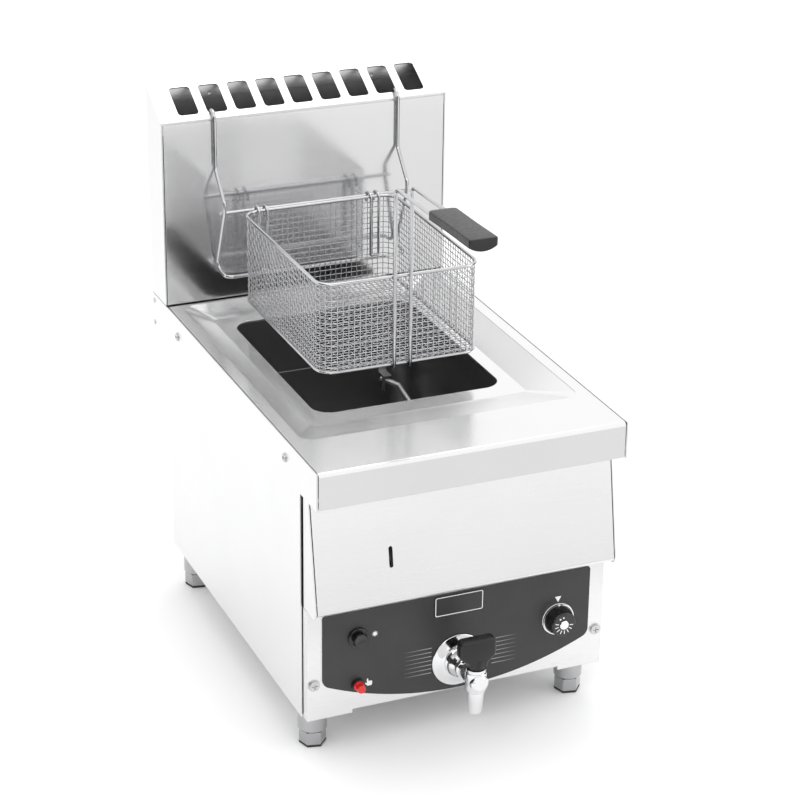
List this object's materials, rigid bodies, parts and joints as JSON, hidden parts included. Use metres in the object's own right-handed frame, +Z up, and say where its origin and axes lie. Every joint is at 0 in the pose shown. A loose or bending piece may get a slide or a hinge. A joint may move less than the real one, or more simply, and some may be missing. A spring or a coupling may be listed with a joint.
{
  "type": "deep fryer",
  "caption": "Countertop gas fryer with a deep steel tank, slotted flue hood, hung wire basket on a long grip, gas knob, igniter, reset button, drain tap and adjustable feet",
  "frame": {"origin": "on the ground under the centre of the whole machine", "axes": "+X to the right of a person facing the controls, +Y to the rear, +Z up"},
  "size_m": [0.3238, 0.516, 0.5535],
  "materials": {
    "casing_steel": "satin",
    "plain_steel": "satin",
    "tank_steel": "satin",
    "hot_steel": "matte",
    "panel_grey": "satin",
    "badge_grey": "satin",
    "brass": "satin",
    "copper": "satin",
    "ceramic": "glossy",
    "black_gloss": "glossy",
    "black_matt": "matte",
    "red_plastic": "glossy",
    "chrome": "glossy",
    "bright_wire": "glossy",
    "fastener_steel": "satin"
  },
  "bodies": {
    "casing": {"left_side_panel": "casing_steel", "right_side_panel": "casing_steel", "top_plate": "casing_steel", "rear_panel": "plain_steel", "base_plate": "plain_steel", "front_frame": "casing_steel", "front_deflector": "casing_steel", "control_fascia": "casing_steel", "control_overlay": "panel_grey", "badge_plate": "badge_grey", "flue_hood": "casing_steel", "flue_front_panel": "plain_steel", "flue_back_panel": "plain_steel", "hood_floor": "plain_steel", "flue_duct": "hot_steel", "oil_tank": "tank_steel", "combustion_chamber": "hot_steel", "burner_left": "hot_steel", "burner_right": "hot_steel", "gas_manifold": "brass", "gas_valve": "plain_steel", "gas_supply_pipe": "brass", "gas_inlet_fitting": "brass", "pilot_burner": "hot_steel", "thermocouple": "copper", "spark_electrode": "ceramic", "thermostat_bulb": "copper", "limit_bulb": "copper", "bulb_bracket": "plain_steel", "igniter_body": "black_gloss", "igniter_spring": "fastener_steel", "reset_thermostat": "fastener_steel", "reset_collar": "black_gloss", "knob_spring": "fastener_steel", "knob_bezel": "chrome", "drain_pipe": "plain_steel", "tap_rosette": "chrome", "tap_body": "chrome", "tap_bonnet": "chrome", "foot_sleeves": "plain_steel", "casing_screws": "fastener_steel", "ear_rivets": "fastener_steel"},
    "bottom_screen": {"bottom_grid": "bright_wire", "grid_handle": "bright_wire"},
    "hanger": {"basket_hanger": "bright_wire"},
    "basket": {"basket_mesh": "bright_wire", "basket_frame": "bright_wire", "handle_grip": "black_matt"},
    "tap_lever": {"tap_plug": "chrome", "tap_handle": "black_matt"},
    "igniter": {"igniter_button": "black_gloss"},
    "reset": {"reset_button": "red_plastic"},
    "gas_plunger": {"valve_plunger": "fastener_steel"},
    "gas_knob": {"valve_spindle": "fastener_steel", "control_knob": "black_gloss", "knob_cap": "panel_grey"},
    "front_left_foot": {"foot_front_left": "plain_steel"},
    "front_right_foot": {"foot_front_right": "plain_steel"},
    "rear_left_foot": {"foot_rear_left": "plain_steel"},
    "rear_right_foot": {"foot_rear_right": "plain_steel"}
  },
  "joints": [
    {"name": "screen_lift", "type": "slide", "parent": "casing", "child": "bottom_screen", "axis": [0, 0, 1], "range_m": [0, 0.18]},
    {"name": "hanger_lift", "type": "slide", "parent": "casing", "child": "hanger", "axis": [0, 0, 1], "range_m": [0, 0.06]},
    {"name": "basket_lift", "type": "slide", "parent": "hanger", "child": "basket", "axis": [0, 0, 1], "range_m": [0, 0.15]},
    {"name": "tap_turn", "type": "hinge", "parent": "casing", "child": "tap_lever", "pos_m": [0, -0.2465, 0.082], "axis": [0, 0, 1], "range_deg": [0, 90]},
    {"name": "igniter_press", "type": "slide", "parent": "casing", "child": "igniter", "axis": [0, 1, 0], "range_m": [0, 0.006], "stiffness_N_per_m": 600, "springref_m": -0.004, "deforming": ["igniter_spring"]},
    {"name": "reset_press", "type": "slide", "parent": "casing", "child": "reset", "axis": [0, 1, 0], "range_m": [0, 0.002], "stiffness_N_per_m": 900, "springref_m": -0.003},
    {"name": "knob_press", "type": "slide", "parent": "casing", "child": "gas_plunger", "axis": [0, 1, 0], "range_m": [0, 0.003], "stiffness_N_per_m": 1200, "springref_m": -0.004, "deforming": ["knob_spring"]},
    {"name": "knob_turn", "type": "hinge", "parent": "gas_plunger", "child": "gas_knob", "pos_m": [0.108, -0.204, 0.1055], "axis": [0, 1, 0], "range_deg": [0, 270]},
    {"name": "front_left_foot_height", "type": "slide", "parent": "casing", "child": "front_left_foot", "axis": [0, 0, -1], "range_m": [0, 0.015]},
    {"name": "front_right_foot_height", "type": "slide", "parent": "casing", "child": "front_right_foot", "axis": [0, 0, -1], "range_m": [0, 0.015]},
    {"name": "rear_left_foot_height", "type": "slide", "parent": "casing", "child": "rear_left_foot", "axis": [0, 0, -1], "range_m": [0, 0.015]},
    {"name": "rear_right_foot_height", "type": "slide", "parent": "casing", "child": "rear_right_foot", "axis": [0, 0, -1], "range_m": [0, 0.015]}
  ]
}
